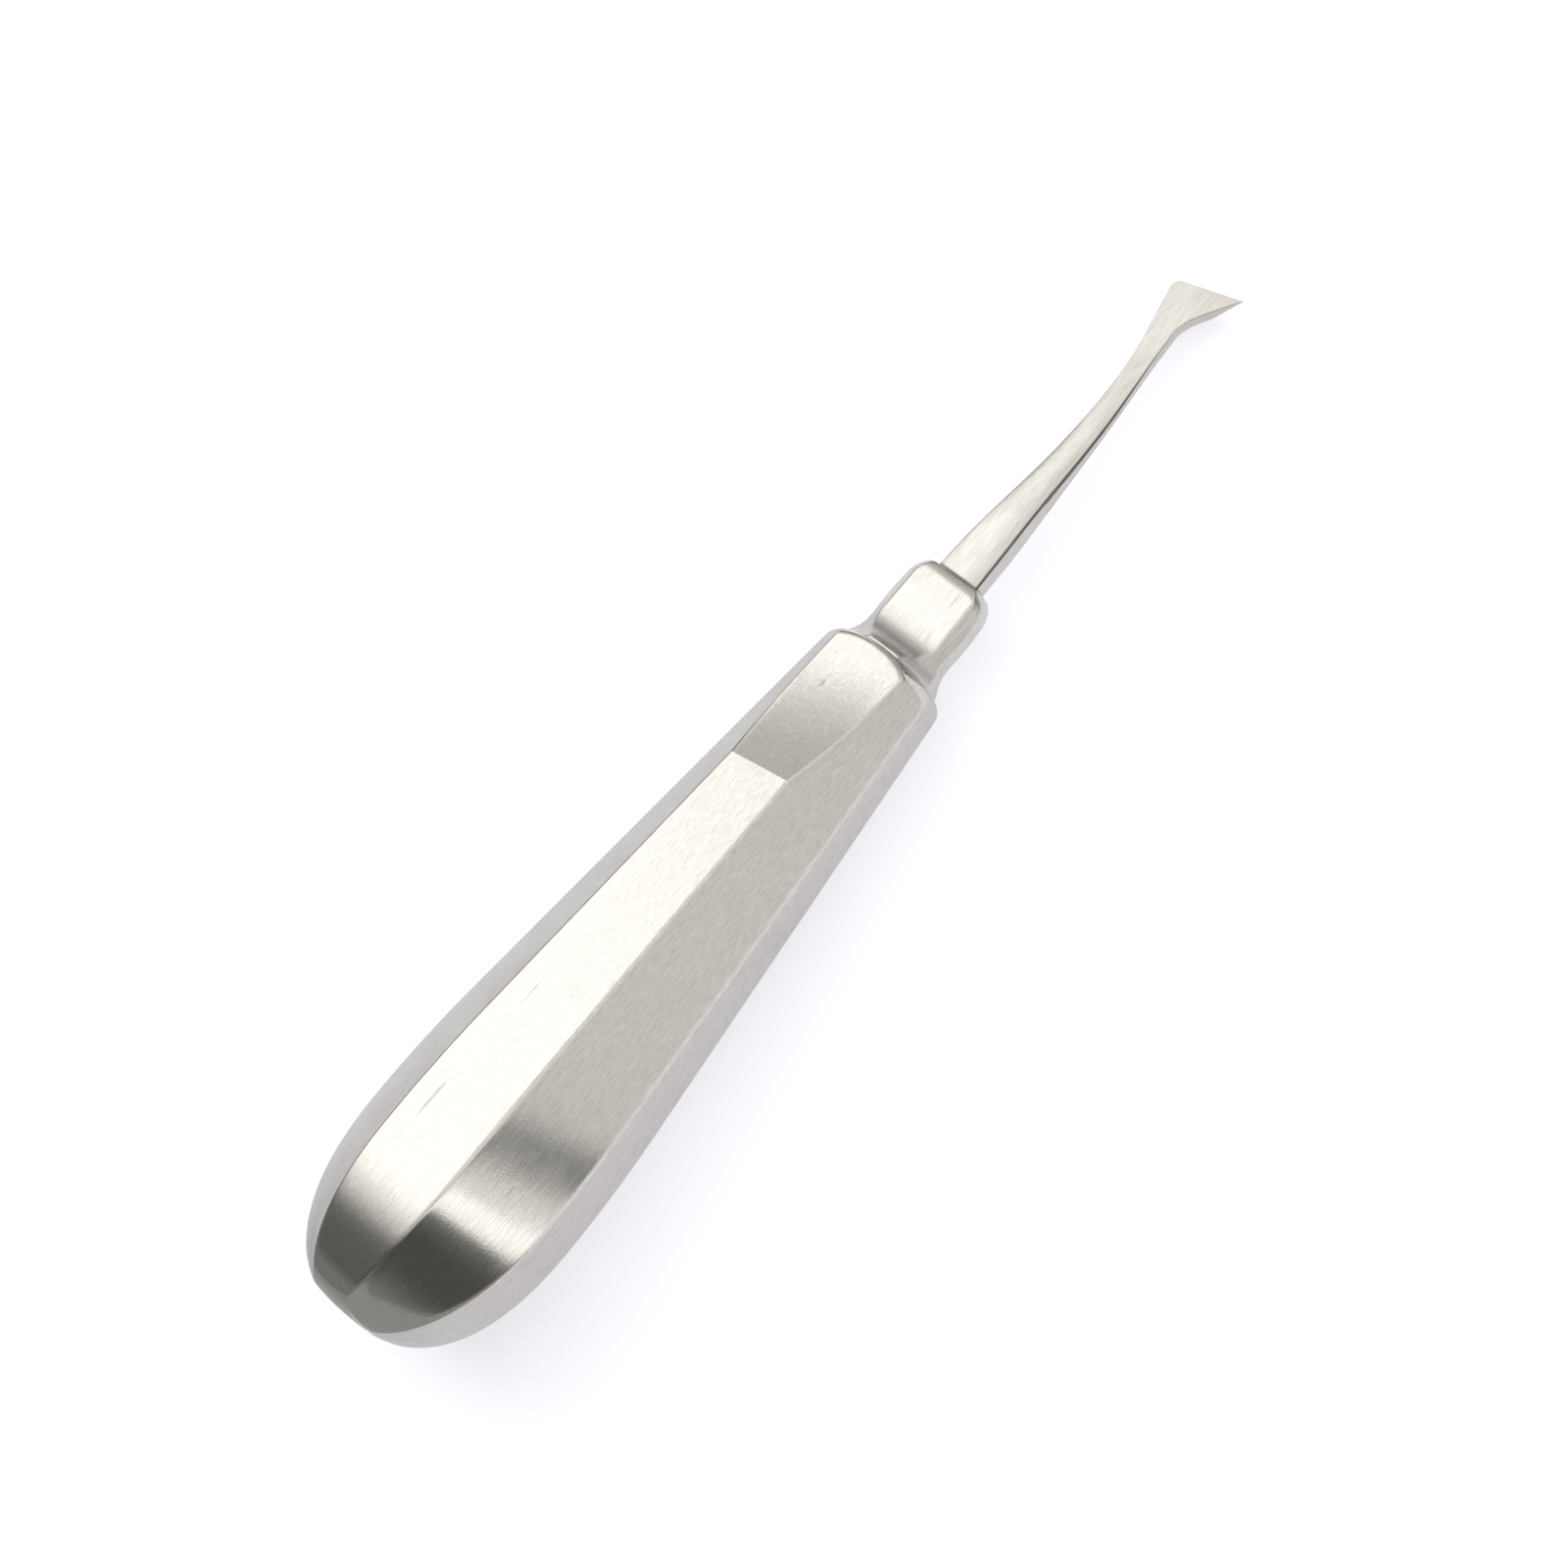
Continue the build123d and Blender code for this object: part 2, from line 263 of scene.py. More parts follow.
@dataclass(frozen=True)
class Octagon:
    """Cross-section of four plane pairs: sides, corners leaned by a turn, top and bottom."""

    turn: float
    sector_columns: int
    crown_radius: float = 90.0
    crown_limit: float = 0.6
    column_crowding: float = 3.0
    smallest_cosine: float = 1e-3

    @property
    def lean(self) -> float:
        """Turn of the corner planes' normals from the side's, in radians."""
        return np.radians(self.turn)

    @property
    def sector(self) -> Array:
        """Number of the sector that each column lies in."""
        return np.repeat(np.arange(SECTORS), self.sector_columns)

    def meeting(self, first: Array, second: Array, between: float) -> Array:
        """Angle from the first plane's normal to the ridge where it meets the second.

        Its tangent is the second distance over the first less the cosine of the angle between
        the normals, over that angle's sine.

        Args:
            first: Distance of the plane that the angle counts from.
            second: Distance of the other plane.
            between: Angle between the two normals.

        Returns:
            Angles in radians.
        """
        return np.arctan((second / first - np.cos(between)) / np.sin(between))

    def top_ridge(self, corner: Array, top: Array) -> Array:
        """Angle of the ridge between a corner plane and the top, from the nearer side."""
        return self.lean + self.meeting(corner, top, np.pi / 2.0 - self.lean)

    def columns(self, side: Array, corner: Array, tops: tuple[Array, Array, Array]) -> Array:
        """Angles of all columns, crowded beside the eight ridges.

        Args:
            side: Distance of the side planes at every grid point.
            corner: Distance of the corner planes.
            tops: Distances of the top at its left ridge, at its right ridge, and of the bottom.

        Returns:
            Rows by columns of angles in radians.
        """
        low = self.meeting(side, corner, self.lean)
        left_top, right_top, bottom = (self.top_ridge(corner, top) for top in tops)
        half, whole = np.pi, 2.0 * np.pi
        upper = [-low, low, left_top, half - right_top, half - low]
        lower = [half + low, half + bottom, whole - bottom, whole - low]
        ridges = np.stack(upper + lower)
        step = np.linspace(-1.0, 1.0, self.sector_columns + 1)[:-1]
        share = 0.5 + 0.5 * np.sign(step) * (1.0 - (1.0 - np.abs(step)) ** self.column_crowding)
        place = np.arange(self.sector.size)
        start = ridges[self.sector, :, place].T
        end = ridges[self.sector + 1, :, place].T
        return start + (end - start) * np.tile(share, SECTORS)

    def planes(self, angle: Array, side: Array, corner: Array, flats: Array) -> list[Array]:
        """Distance from the axis to each slightly crowned plane pair along each angle.

        A flat plane lies at its distance over the cosine. The crown takes off the square of the
        distance across the facet over twice the crown's radius.

        Args:
            angle: Angles around the axis.
            side: Distance of the side planes.
            corner: Distance of the corner planes.
            flats: Distance of the top and bottom planes.

        Returns:
            One array of distances for each pair.
        """
        lean = self.lean
        pairs = ((flats, np.pi / 2.0), (side, 0.0), (corner, lean), (corner, -lean))
        reaches = []
        for distance, normal in pairs:
            cosine = np.clip(np.abs(np.cos(angle - normal)), self.smallest_cosine, None)
            sine = np.sqrt(1.0 - np.minimum(cosine, 1.0) ** 2)
            tangent = np.minimum(sine / cosine, self.crown_limit)
            crown = (distance * tangent) ** 2 / (2.0 * self.crown_radius)
            reaches.append((distance - crown) / cosine)
        return reaches


@dataclass(frozen=True)
class FacetPair:
    """Two opposite facets of the handle: their size share and bluntness at the butt."""

    share: float
    rise_power: float
    round_power: float


@dataclass(frozen=True)
class Handle:
    """Hollow eight-sided handle: four facet pairs, a turned envelope and the thumb rest."""

    length: float = 95.6
    crest_station: float = 21.0
    crest_half_size: float = 13.98
    straight_start: float = 36.5
    taper: float = 0.0942
    butt_cap_length: float = 12.6
    butt_cap_radius: float = 15.7
    butt_cap_power: float = 2.4
    shoulder_length: float = 10.6
    shoulder_fullness: float = 1.148
    shoulder_rise_power: float = 4.0
    shoulder_round_power: float = 2.6
    thumb_run: float = 17.4
    thumb_margin: float = 2.6
    thumb_drop: float = 3.85
    thumb_hollow: float = 0.35
    thumb_turn: float = 6.0
    nose_overrun: float = 0.5
    pole_gap: float = 0.0005
    ridge_rounding: float = 0.10
    crease_rounding: float = 0.004
    rim_rounding: float = 0.03
    shoulder_rounding: float = 0.22
    upper: FacetPair = FacetPair(share=1.025, rise_power=3.0, round_power=3.3)
    sides: FacetPair = FacetPair(share=0.974, rise_power=2.1, round_power=2.2)
    corners: FacetPair = FacetPair(share=0.953, rise_power=2.5, round_power=2.7)
    section: Octagon = Octagon(turn=37.3, sector_columns=20)
    rows: tuple[int, ...] = (46, 230, 120, 40)
    crowding: tuple[tuple[float, float], ...] = ((2.4, 1.6), (1.7, 1.7), (1.7, 1.7), (1.6, 1.4))
    rounds: int = 4
    halvings: int = 30
    top_sine: float = 0.4
    crease_sines: tuple[float, float] = (-0.2, 0.7)
    edge_guess: float = 2.2
    rim_guess: float = 2.0
    rim_search: float = 6.0
    polished_sectors: tuple[int, ...] = (2, 3)
    thumb_sector: int = 2
    mark_fade: float = 0.02

    @property
    def dip(self) -> float:
        """Angle by which the axis dips when the handle lies on its lower facet, in radians."""
        return float(np.arctan(self.upper.share * self.taper))

    @property
    def rest_height(self) -> float:
        """Height of the axis above the table at station 0."""
        rise = self.upper.share * self.taper * self.straight_start
        reach = float(self.distance(self.upper, np.array(self.straight_start)))
        return (reach + rise) * np.cos(self.dip)

    @property
    def crease_station(self) -> float:
        """Station at which the thumb rest's crease crosses the axis."""
        return self.length - self.thumb_margin - self.thumb_run

    def straight(self, pair: FacetPair) -> float:
        """Distance of a pair from the axis where its straight stretch starts."""
        run = self.straight_start - self.crest_station
        drop = run * np.tan(np.arctan(pair.share * self.taper) / 2.0)
        return pair.share * self.crest_half_size - drop

    def distance(self, pair: FacetPair, station: Array) -> Array:
        """Distance of a facet pair from the axis.

        It rises as a blunt nose to the crest, falls along an arc that is level at the crest and
        meets the straight stretch without a break, and then falls evenly.

        Args:
            pair: The facet pair.
            station: Stations along the axis.

        Returns:
            Distances in millimetres.
        """
        crest = pair.share * self.crest_half_size
        slope = pair.share * self.taper
        share = (station + self.nose_overrun) / (self.crest_station + self.nose_overrun)
        nose = crest * blunt_nose(share, pair.rise_power, pair.round_power)
        radius = (self.straight_start - self.crest_station) / np.sin(np.arctan(slope))
        past = np.clip(station - self.crest_station, 0.0, radius)
        arc = crest - (radius - np.sqrt(radius**2 - past**2))
        line = self.straight(pair) - slope * (station - self.straight_start)
        bent = np.where(station < self.crest_station, nose, arc)
        return np.where(station < self.straight_start, bent, line)

    def envelope(self, station: Array) -> Array:
        """Radius of the turned envelope: blunt butt cap, even run and domed shoulder."""
        cap_share = station / self.butt_cap_length
        cap = self.butt_cap_radius * blunt_nose(cap_share, self.butt_cap_power, self.butt_cap_power)
        start = self.length - self.shoulder_length
        root = self.distance(self.corners, np.array(start)) * self.shoulder_fullness
        fall = np.clip((station - self.straight_start) / (start - self.straight_start), 0.0, 1.0)
        run = self.butt_cap_radius + (root - self.butt_cap_radius) * fall
        dome = root * blunt_nose(
            (self.length - station) / self.shoulder_length,
            self.shoulder_rise_power,
            self.shoulder_round_power,
        )
        return np.where(station < start, np.minimum(cap, run), dome)

    def thumb_height(self, station: Array, leftward: Array) -> Array:
        """Height of the ground thumb rest above the axis.

        From the crease it falls along a shallow parabola: the drop times the share of the run,
        and four times the hollow times the share times its complement.
        """
        turn = np.radians(self.thumb_turn)
        reach = (station - self.crease_station) * np.cos(turn) + leftward * np.sin(turn)
        share = reach / self.thumb_run
        entry = self.distance(self.upper, np.array(self.crease_station))
        inner = np.clip(share, 0.0, 1.0)
        height = entry - self.thumb_drop * inner - 4.0 * self.thumb_hollow * inner * (1.0 - inner)
        lead_in = (self.thumb_drop + 4.0 * self.thumb_hollow) * np.clip(-share, 0.0, None)
        run_out = (self.thumb_drop - 4.0 * self.thumb_hollow) * np.clip(share - 1.0, 0.0, None)
        return height + lead_in - run_out

    def angles(self, station: Array) -> Array:
        """Angles of all grid points, with the columns crowded beside the ridges.

        The ridges beside the thumb rest depend on their own distance to the left, so they are
        found by a few rounds of the same step.

        Args:
            station: Rows by columns of stations.

        Returns:
            Rows by columns of angles.
        """
        side = self.distance(self.sides, station)
        corner = self.distance(self.corners, station)
        upper = self.distance(self.upper, station)
        tops = [upper, upper]
        for _ in range(self.rounds):
            for place, sign in enumerate((1.0, -1.0)):
                ridge = self.section.top_ridge(corner, tops[place])
                leftward = sign * corner * np.cos(ridge) / np.cos(ridge - self.section.lean)
                tops[place] = np.minimum(upper, self.thumb_height(station, leftward))
        return self.section.columns(side, corner, (tops[0], tops[1], upper))

    def ground_top(self, station: Array, angle: Array) -> Array:
        """Distance of the upper plane from the axis, lowered where the thumb rest is ground."""
        upper = self.distance(self.upper, station)
        rise = np.clip(np.sin(angle), self.top_sine, None)
        height = upper
        for _ in range(self.rounds):
            height = self.thumb_height(station, height * np.cos(angle) / rise)
        ground = soft_lowest([upper, height], self.crease_rounding)
        return np.where(np.sin(angle) > self.top_sine, ground, upper)

    def faceted(self, station: Array, angle: Array) -> Array:
        """Distance of the facets and the thumb rest from the axis, without the envelope."""
        side = self.distance(self.sides, station)
        corner = self.distance(self.corners, station)
        planes = self.section.planes(angle, side, corner, self.ground_top(station, angle))
        return soft_lowest(planes, self.ridge_rounding)

    def meeting_station(self, angle: Array, low: float, high: float, rising: bool) -> Array:
        """Station at which the envelope meets the facets, found by halving the interval.

        Args:
            angle: Angles around the axis.
            low: Lowest station looked at.
            high: Highest station looked at.
            rising: Whether the envelope comes up through the facets, as it does at the butt.

        Returns:
            One station for each angle.
        """
        first = np.full(angle.shape, low)
        last = np.full(angle.shape, high)
        for _ in range(self.halvings):
            middle = (first + last) / 2.0
            inside = self.envelope(middle) < self.faceted(middle, angle)
            before = inside if rising else ~inside
            first = np.where(before, middle, first)
            last = np.where(before, last, middle)
        return (first + last) / 2.0

    def crease(self, angle: Array) -> Array:
        """Station of the crease at each angle: it leans across the top and is level below."""
        height = self.distance(self.upper, np.array(self.crease_station))
        below, above = self.crease_sines
        leftward = height * np.cos(angle) / np.clip(np.abs(np.sin(angle)), above, None)
        lean = np.tan(np.radians(self.thumb_turn)) * smooth_step(np.sin(angle), below, above)
        return self.crease_station - leftward * lean

    def build(self, lie: AxisLie) -> bpy.types.Object:
        """Makes the handle's surface, with rows on the butt's edge, the crease and the rim.

        Args:
            lie: Where the axis lies.

        Returns:
            The handle's object.
        """
        columns = self.section.sector.size
        guess = np.array([self.edge_guess, self.crease_station, self.length - self.rim_guess])
        butt_angle, crease_angle, rim_angle = self.angles(guess[:, None] * np.ones(columns))
        butt_edge = self.meeting_station(butt_angle, 0.0, self.butt_cap_length, rising=True)
        rim_start = self.length - self.rim_search
        rim = self.meeting_station(rim_angle, rim_start, self.length, rising=False)
        knots = [
            np.full(columns, self.pole_gap),
            butt_edge,
            self.crease(crease_angle),
            rim,
            np.full(columns, self.length - self.pole_gap),
        ]
        stations = eased_rows(knots, self.rows, self.crowding)
        angles = self.angles(stations)
        faceted = self.faceted(stations, angles)
        ahead = smooth_step(stations, self.crease_station, self.length - self.shoulder_length)
        rounding = self.rim_rounding + (self.shoulder_rounding - self.rim_rounding) * ahead
        reach = soft_lowest([faceted, self.envelope(stations)], rounding)
        points = lie.place(stations, reach * np.cos(angles), reach * np.sin(angles))
        on_top = np.isin(self.section.sector, self.polished_sectors).astype(float)
        on_upper = (self.section.sector == self.thumb_sector).astype(float)
        past_crease = stations - self.crease(crease_angle)
        marks = {
            "polished": on_top * smooth_step(stations - butt_edge, -self.mark_fade, self.mark_fade),
            "thumb": on_upper * smooth_step(past_crease, -self.mark_fade, self.mark_fade),
        }
        return closed_mesh("handle_shell", points, marks)


@dataclass(frozen=True)
class FerruleFaces:
    """Opposite ferrule faces: flare at the shoulder, waist, slight swell and rounded front."""

    reach: float
    swell: float
    flare: float
    flare_lead: float
    waist_run: float
    front_run: float
    rounding: float

    def distance(self, run: Array, length: float) -> Array:
        """Distance of the faces from the axis.

        The flare and the front are arcs that are level at the waist and at the front's start,
        and the barrel between them is a parabola.

        Args:
            run: Distance from the shoulder's end, towards the blade.
            length: Length of the ferrule.

        Returns:
            Distances in millimetres.
        """
        waist = self.reach - self.swell
        front_start = length - self.front_run
        half = (front_start - self.waist_run) / 2.0
        barrel = self.reach - self.swell * ((run - self.waist_run - half) / half) ** 2
        back = np.clip(self.waist_run - run, 0.0, self.waist_run + self.flare_lead)
        rise = self.flare - waist
        flare_radius = ((self.waist_run + self.flare_lead) ** 2 + rise**2) / (2.0 * rise)
        flare = waist + flare_radius - np.sqrt(flare_radius**2 - back**2)
        ahead = np.clip(run - front_start, 0.0, self.front_run)
        front_radius = (self.front_run**2 + self.rounding**2) / (2.0 * self.rounding)
        front = waist - front_radius + np.sqrt(front_radius**2 - ahead**2)
        body = np.where(run < self.waist_run, flare, barrel)
        return np.where(run > front_start, front, body)


@dataclass(frozen=True)
class Ferrule:
    """Ferrule and neck: three kinds of faces, and the front around the shank's seam."""

    length: float = 11.3
    tuck: float = 2.6
    lip_rounding: float = 0.18
    ridge_rounding: float = 0.12
    seam_half_width: float = 2.92
    seam_half_height: float = 1.75
    seam_width: float = 0.16
    flats: FerruleFaces = FerruleFaces(
        reach=2.46, swell=0.09, flare=4.9, flare_lead=0.3, waist_run=3.3, front_run=1.7, rounding=0.42
    )
    sides: FerruleFaces = FerruleFaces(
        reach=5.59, swell=0.14, flare=6.3, flare_lead=0.6, waist_run=2.8, front_run=3.3, rounding=1.5
    )
    corners: FerruleFaces = FerruleFaces(
        reach=4.6, swell=0.05, flare=5.6, flare_lead=1.0, waist_run=1.6, front_run=2.6, rounding=1.0
    )
    section: Octagon = Octagon(turn=48.1, sector_columns=18)
    body_rows: int = 150
    lip_rows: int = 8
    face_rows: int = 40
    face_middle: float = 0.12
    mark_fade: float = 0.02
    neck_polish: float = 0.15
    added_polish: float = 0.5
    polish_run: tuple[float, float] = (2.5, 5.5)

    def distances(self, run: Array) -> tuple[Array, Array, Array]:
        """Distances of the side, corner and flat faces at runs from the shoulder's end."""
        kinds = (self.sides, self.corners, self.flats)
        side, corner, flat = (kind.distance(run, self.length) for kind in kinds)
        return side, corner, flat

    def build(self, lie: AxisLie, shoulder_end: float) -> bpy.types.Object:
        """Makes the ferrule from inside the shoulder to its front, lip and front face.

        Args:
            lie: Where the axis lies.
            shoulder_end: Station of the shoulder's end.

        Returns:
            The ferrule's object.
        """
        columns = self.section.sector.size
        body = np.linspace(-self.tuck, self.length - self.lip_rounding, self.body_rows)
        bend = np.linspace(0.0, np.pi / 2.0, self.lip_rows + 1)[1:]
        lip = self.length - self.lip_rounding * (1.0 - np.sin(bend))
        face_share = np.linspace(1.0, self.face_middle, self.face_rows)[1:]
        run = np.concatenate([body, lip, np.full(face_share.size, self.length)])
        inset = np.concatenate(
            [
                np.zeros(body.size),
                self.lip_rounding * (1.0 - np.cos(bend)),
                np.full(face_share.size, self.lip_rounding),
            ]
        )
        share = np.concatenate([np.ones(body.size + lip.size), face_share])
        grid = run[:, None] * np.ones(columns)
        side, corner, flat = self.distances(grid)
        angles = self.section.columns(side, corner, (flat, flat, flat))
        planes = self.section.planes(angles, side, corner, flat)
        reach = (soft_lowest(planes, self.ridge_rounding) - inset[:, None]) * share[:, None]
        leftward, rise = reach * np.cos(angles), reach * np.sin(angles)
        points = lie.place(shoulder_end + grid, leftward, rise)
        beyond = np.maximum(
            np.abs(leftward) - self.seam_half_width, np.abs(rise) - self.seam_half_height
        )
        at_front = smooth_step(grid, self.length - self.mark_fade, self.length)
        marks = {
            "polished": self.neck_polish + self.added_polish * smooth_step(grid, *self.polish_run),
            "seam_and_painted_reflection": at_front * (1.0 - smooth_step(beyond, 0.0, self.seam_width)),
        }
        return closed_mesh("ferrule_and_neck", points, marks)


@dataclass(frozen=True)
class WorkingEnd:
    """Forged shank and flag blade: two plan outlines, a thickness and the ground bevel.

    Runs near the ferrule count from its front, and runs near the blade count back from the
    blade's point, as distances to the left of the axis.
    """

    length: float = 44.8
    tuck: float = 0.8
    half_thickness: float = 1.75
    full_run: float = 9.1
    thinned_half: float = 1.2
    thinned_run: float = 17.6
    waist_half: float = 0.75
    waist_setback: float = 9.7
    blade_length: float = 5.2
    blade_half: float = 0.85
    blade_reach: float = 5.36
    edge_corner_left: float = 1.73
    edge_setback: float = 1.8
    corner_setback: float = 3.3
    corner_left: float = 2.75
    corner_bulge: float = 0.45
    heel_setback: float = 4.3
    heel_right: float = 2.39
    heel_slope: float = -0.695
    heel_start_setback: float = 7.1
    heel_start_slope: float = -0.187
    edge_thickness: float = 0.3
    bevel_run: float = 2.6
    edge_rounding: float = 0.16
    root_rounding: float = 0.26
    root_crown: float = 0.38
    # Strength of the painted dark reflection along the right upper edge, and the run over which it
    # fades out.
    painted_edge_reflection: float = 0.85
    painted_reflection_run: tuple[float, float] = (28.0, 40.0)
    rounding_run: tuple[float, float] = (16.0, 36.0)
    left_from_ferrule: tuple[tuple[float, float], ...] = ((0, 2.80), (5.6, 2.38), (11.2, 1.76))
    left_from_point: tuple[tuple[float, float], ...] = (
        (17.1, 0.80),
        (11.6, 1.15),
        (6.6, 2.10),
        (3.3, 2.75),
    )
    right_from_ferrule: tuple[tuple[float, float], ...] = ((0, -2.90), (5.6, -2.82), (11.2, -2.62))
    right_from_point: tuple[tuple[float, float], ...] = ((17.1, -1.93), (11.6, -1.45), (7.1, -1.22))
    shank_rows: int = 119
    blade_rows: int = 111
    blade_crowding: float = 1.7
    bend_columns: int = 7
    wide_columns: int = 24
    tall_columns: int = 6
    edge_margin: float = 0.2
    seam_run: tuple[float, float] = (0.05, 0.3)
    line_coarseness: float = 0.8
    shank_polish: float = 0.4
    lost_polish: float = 0.32
    satin_run: tuple[float, float] = (14.0, 30.0)

    def side_curve(self, near_ferrule: tuple, near_point: tuple, run: Array) -> Array:
        """Distance to the left of one side of the shank, at runs from the ferrule's front."""
        places = [place for place, _ in near_ferrule]
        places += [self.length - setback for setback, _ in near_point]
        heights = [height for _, height in near_ferrule + near_point]
        return smooth_curve(np.array(places, dtype=float), np.array(heights), run)

    def left_outline(self, run: Array) -> Array:
        """Left outline of shank and blade: the side curve, then the rounded corner's arc."""
        start = np.array([self.length - self.corner_setback, self.corner_left])
        end = np.array([self.length - self.edge_setback, self.edge_corner_left])
        chord = end - start
        half = np.hypot(*chord) / 2.0
        radius = (half**2 + self.corner_bulge**2) / (2.0 * self.corner_bulge)
        outward = np.array([-chord[1], chord[0]]) / (2.0 * half)
        centre = (start + end) / 2.0 - outward * (radius - self.corner_bulge)
        arc = centre[1] + np.sqrt(np.clip(radius**2 - (run - centre[0]) ** 2, 0.0, None))
        shank = self.side_curve(self.left_from_ferrule, self.left_from_point, run)
        return np.where(run < start[0], shank, arc)

    def right_outline(self, run: Array) -> Array:
        """Right outline: the side curve, a cubic into the heel, and the straight to the point."""
        start = self.length - self.heel_start_setback
        end = self.length - self.heel_setback
        begin_height = self.right_from_point[-1][1]
        gap = end - start
        share = np.clip((run - start) / gap, 0.0, 1.0)
        heel = (
            begin_height * (1.0 + 2.0 * share) * (1.0 - share) ** 2
            - self.heel_right * share**2 * (3.0 - 2.0 * share)
            + self.heel_start_slope * gap * share * (1.0 - share) ** 2
            - self.heel_slope * gap * share**2 * (1.0 - share)
        )
        fall = (self.blade_reach - self.heel_right) / self.heel_setback
        straight = -self.heel_right - fall * (run - end)
        shank = self.side_curve(self.right_from_ferrule, self.right_from_point, run)
        return np.where(run < start, shank, np.where(run < end, heel, straight))

    def half_thickness_at(self, run: Array) -> Array:
        """Half-thickness of the blank along the run, as a smooth curve through its sizes."""
        root = self.length - self.blade_length
        places = [0.0, self.full_run, self.thinned_run, self.length - self.waist_setback, root]
        places.append(self.length + self.tuck)
        sizes = [self.half_thickness, self.half_thickness, self.thinned_half, self.waist_half]
        sizes += [self.blade_half, self.blade_half]
        return smooth_curve(np.array(places), np.array(sizes), run)

    def loop(self) -> tuple[Array, Array, Array]:
        """Unit loop of a rounded bar: the corner it belongs to, across and up, and the bend.

        The loop starts at the left, runs over the top to the right and back underneath. Along
        a flat stretch the corner moves from one side to the other while the bend stays.

        Returns:
            Corner across, corner up, and the angle of the rounded edge, for each column.
        """
        quarter = np.pi / 2.0
        bend = np.linspace(0.0, quarter, self.bend_columns)
        wide = np.linspace(1.0, -1.0, self.wide_columns + 2)[1:-1]
        tall = np.linspace(1.0, -1.0, self.tall_columns + 2)[1:-1]
        corner = np.ones(bend.size)
        upright = np.concatenate([corner, np.ones(tall.size), corner])
        level = np.concatenate([corner, np.ones(wide.size), corner])
        across = np.concatenate([corner, wide, -upright, -wide, corner, np.ones(tall.size)])
        up = np.concatenate([level, tall, -level, -tall])
        turn = []
        for number, flat in enumerate((wide, tall, wide, tall)):
            turn += [bend + number * quarter, np.full(flat.size, (number + 1) * quarter)]
        return across, up, np.concatenate(turn)

    def build(self, lie: AxisLie, ferrule_end: float) -> bpy.types.Object:
        """Makes the shank and blade from rows that join matched points of both outlines.

        The bend runs from a quarter to a half turn at the right upper edge, where the middle
        of the rounding carries a painted dark reflection, a dark line near the ferrule.

        Args:
            lie: Where the axis lies.
            ferrule_end: Station of the ferrule's front.

        Returns:
            The working end's object.
        """
        waist = self.length - self.waist_setback
        shank = np.linspace(-self.tuck, waist, self.shank_rows + 1)[:-1]
        step = np.linspace(0.0, 1.0, self.blade_rows)
        share = 1.0 - (1.0 - step) ** self.blade_crowding
        left_run = np.concatenate([shank, waist + share * (self.waist_setback - self.edge_setback)])
        right_run = np.concatenate([shank, waist + share * self.waist_setback])
        left = np.stack([left_run, self.left_outline(left_run)], axis=-1)
        right = np.stack([right_run, self.right_outline(right_run)], axis=-1)
        middle, half_span = (left + right) / 2.0, (left - right) / 2.0
        half_width = np.hypot(half_span[:, 0], half_span[:, 1])
        direction = half_span / half_width[:, None]
        thick = self.half_thickness_at(middle[:, 0])
        across, up, turn = self.loop()
        thinning = smooth_step(middle[:, :1], *self.rounding_run)
        rounding = self.root_rounding + (self.edge_rounding - self.root_rounding) * thinning
        reach = across * (half_width[:, None] - rounding) + rounding * np.cos(turn)
        height = up * (thick[:, None] - rounding) + rounding * np.sin(turn)
        crown = self.root_crown * (1.0 - thinning) * (reach / half_width[:, None]) ** 2
        height = height - np.sign(up) * crown * (np.abs(up) == 1.0)
        run = middle[:, :1] + direction[:, :1] * reach
        leftward = middle[:, 1:] + direction[:, 1:] * reach
        below = (thick[:, None] - height) / (2.0 * thick[:, None])
        height = height + self.bevel_lift(run, leftward, thick[:, None]) * below
        points = lie.place(ferrule_end + run, leftward, height)
        # Painted dark reflection: a dark line in the middle of the right upper edge's rounding,
        # fading out towards the blade, laid with the seam's dark colour.
        on_edge = np.abs(turn - 0.75 * np.pi) < 0.25 * np.pi - self.edge_margin
        line = self.painted_edge_reflection * on_edge * (1.0 - smooth_step(run, *self.painted_reflection_run))
        marks = {
            "polished": self.shank_polish - self.lost_polish * smooth_step(run, *self.satin_run),
            "thumb": np.full(run.shape, self.line_coarseness),
            "seam_and_painted_reflection": np.maximum(line, 1.0 - smooth_step(run, *self.seam_run)),
        }
        return closed_mesh("shank_and_blade", points, marks)

    def bevel_lift(self, run: Array, leftward: Array, thick: Array) -> Array:
        """Rise of the blade's underside: even from the bevel's start to the working edge."""
        corner = np.array([self.length - self.edge_setback, self.edge_corner_left])
        edge = np.array([self.edge_setback, -self.blade_reach - self.edge_corner_left])
        normal = np.array([-edge[1], edge[0]]) / np.hypot(*edge)
        back = (corner[0] - run) * normal[0] + (corner[1] - leftward) * normal[1]
        share = np.clip(1.0 - back / self.bevel_run, 0.0, 1.0)
        return share * (2.0 * thick - self.edge_thickness)


def linear_colour(hex_colour: str) -> tuple[float, float, float, float]:
    """Linear colour from an sRGB hex value: 12.92 below a knee, and a 2.4 power above it."""
    coded = np.array([int(hex_colour[place : place + 2], 16) / 255.0 for place in (1, 3, 5)])
    linear = np.where(coded <= 0.04045, coded / 12.92, ((coded + 0.055) / 1.055) ** 2.4)
    return (*linear.tolist(), 1.0)


